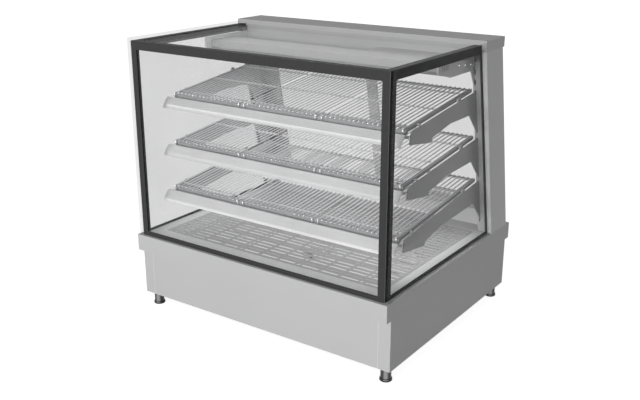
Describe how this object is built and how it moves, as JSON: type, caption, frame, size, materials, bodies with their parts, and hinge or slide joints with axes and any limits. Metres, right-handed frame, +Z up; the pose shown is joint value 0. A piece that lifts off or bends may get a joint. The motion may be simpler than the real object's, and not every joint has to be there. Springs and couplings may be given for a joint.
{
  "type": "heated food display cabinet",
  "caption": "Counter-top heated food display: square black-framed glass case, tilted wire-rack tiers, slotted hot deck, leaning rear with sliding doors, steel base on feet.",
  "frame": {"origin": "centre of the overall footprint, on the plane that the feet stand on", "axes": "+Z up, -Y is the customer's glass front, +Y is the operator's side with the sliding doors"},
  "size_m": [0.9, 0.762, 0.853],
  "materials": {
    "stainless": "brushed",
    "deck_steel": "satin",
    "shelf_steel": "satin",
    "rack_wire": "satin",
    "black_frame": "satin",
    "clear_glass": "clear",
    "clear_spacer": "clear",
    "anodised": "satin",
    "ticket_plastic": "satin",
    "element_sheath": "oxidised",
    "lamp_glass": "clear",
    "lamp_ceramic": "matt",
    "black_plastic": "matt",
    "knob_plastic": "satin",
    "rocker_plastic": "gloss",
    "screw_steel": "polished",
    "foot_steel": "polished"
  },
  "bodies": {
    "cabinet": {"base_side_left": "stainless", "base_side_right": "stainless", "base_front_panel": "stainless", "base_rear_panel": "stainless", "base_floor": "stainless", "collar": "stainless", "deck_border": "stainless", "deck_panels": "deck_steel", "heated_well": "deck_steel", "heating_element": "element_sheath", "fan_housing": "black_plastic", "glass_frame": "black_frame", "front_glass": "clear_glass", "side_glass_left": "clear_glass", "side_glass_right": "clear_glass", "side_spacers": "clear_spacer", "top_glass": "clear_glass", "header": "stainless", "rear_wall_left": "stainless", "rear_wall_right": "stainless", "door_jambs": "stainless", "rear_sill": "stainless", "door_tracks": "anodised", "shelf_uprights": "stainless", "lamp_canopy": "stainless", "canopy_end_plates": "stainless", "heat_lamps": "lamp_glass", "lamp_holders": "lamp_ceramic", "canopy_glass": "clear_glass", "canopy_junction_box": "stainless", "thermostat": "black_plastic", "switch_bodies": "black_plastic", "cord_gland": "black_plastic", "terminal_block": "lamp_ceramic", "panel_screws": "screw_steel", "tier_1_brackets": "stainless", "tier_2_brackets": "stainless", "tier_3_brackets": "stainless"},
    "door_left": {"door_left_frame": "anodised", "door_left_glass": "clear_glass"},
    "door_right": {"door_right_frame": "anodised", "door_right_glass": "clear_glass"},
    "tier_1": {"tier_1_frame": "shelf_steel", "tier_1_racks": "rack_wire", "tier_1_ticket_strip": "ticket_plastic"},
    "tier_2": {"tier_2_frame": "shelf_steel", "tier_2_racks": "rack_wire", "tier_2_ticket_strip": "ticket_plastic"},
    "tier_3": {"tier_3_frame": "shelf_steel", "tier_3_racks": "rack_wire", "tier_3_ticket_strip": "ticket_plastic"},
    "front_left_foot": {"foot_front_left": "foot_steel"},
    "front_right_foot": {"foot_front_right": "foot_steel"},
    "rear_left_foot": {"foot_rear_left": "foot_steel"},
    "rear_right_foot": {"foot_rear_right": "foot_steel"},
    "knob": {"thermostat_knob": "knob_plastic"},
    "heat_switch": {"heat_rocker": "rocker_plastic"},
    "light_switch": {"light_rocker": "rocker_plastic"},
    "fan": {"fan_rotor": "black_plastic"}
  },
  "joints": [
    {"name": "door_left_slide", "type": "slide", "parent": "cabinet", "child": "door_left", "axis": [1, 0, 0], "range_m": [0, 0.39]},
    {"name": "door_right_slide", "type": "slide", "parent": "cabinet", "child": "door_right", "axis": [-1, 0, 0], "range_m": [0, 0.39]},
    {"name": "tier_1_tilt", "type": "hinge", "parent": "cabinet", "child": "tier_1", "pos_m": [0, 0.04902, 0.69544], "axis": [-1, 0, 0], "range_deg": [0, 6.5]},
    {"name": "tier_2_tilt", "type": "hinge", "parent": "cabinet", "child": "tier_2", "pos_m": [0, 0.07806, 0.55143], "axis": [-1, 0, 0], "range_deg": [0, 6.5]},
    {"name": "tier_3_tilt", "type": "hinge", "parent": "cabinet", "child": "tier_3", "pos_m": [0, 0.10598, 0.41298], "axis": [-1, 0, 0], "range_deg": [0, 6.5]},
    {"name": "front_left_foot_height", "type": "slide", "parent": "cabinet", "child": "front_left_foot", "axis": [0, 0, -1], "range_m": [0, 0.012]},
    {"name": "front_right_foot_height", "type": "slide", "parent": "cabinet", "child": "front_right_foot", "axis": [0, 0, -1], "range_m": [0, 0.012]},
    {"name": "rear_left_foot_height", "type": "slide", "parent": "cabinet", "child": "rear_left_foot", "axis": [0, 0, -1], "range_m": [0, 0.012]},
    {"name": "rear_right_foot_height", "type": "slide", "parent": "cabinet", "child": "rear_right_foot", "axis": [0, 0, -1], "range_m": [0, 0.012]},
    {"name": "knob_turn", "type": "hinge", "parent": "cabinet", "child": "knob", "pos_m": [-0.33, 0.356, 0.117], "axis": [0, -1, 0], "range_deg": [0, 270]},
    {"name": "heat_switch_rock", "type": "hinge", "parent": "cabinet", "child": "heat_switch", "pos_m": [-0.255, 0.356, 0.117], "axis": [-1, 0, 0], "range_deg": [0, 16]},
    {"name": "light_switch_rock", "type": "hinge", "parent": "cabinet", "child": "light_switch", "pos_m": [-0.215, 0.356, 0.117], "axis": [-1, 0, 0], "range_deg": [0, 16]},
    {"name": "fan_spin", "type": "hinge", "parent": "cabinet", "child": "fan", "pos_m": [0, -0.03881, 0.15], "axis": [0, 0, 1], "continuous": true}
  ]
}
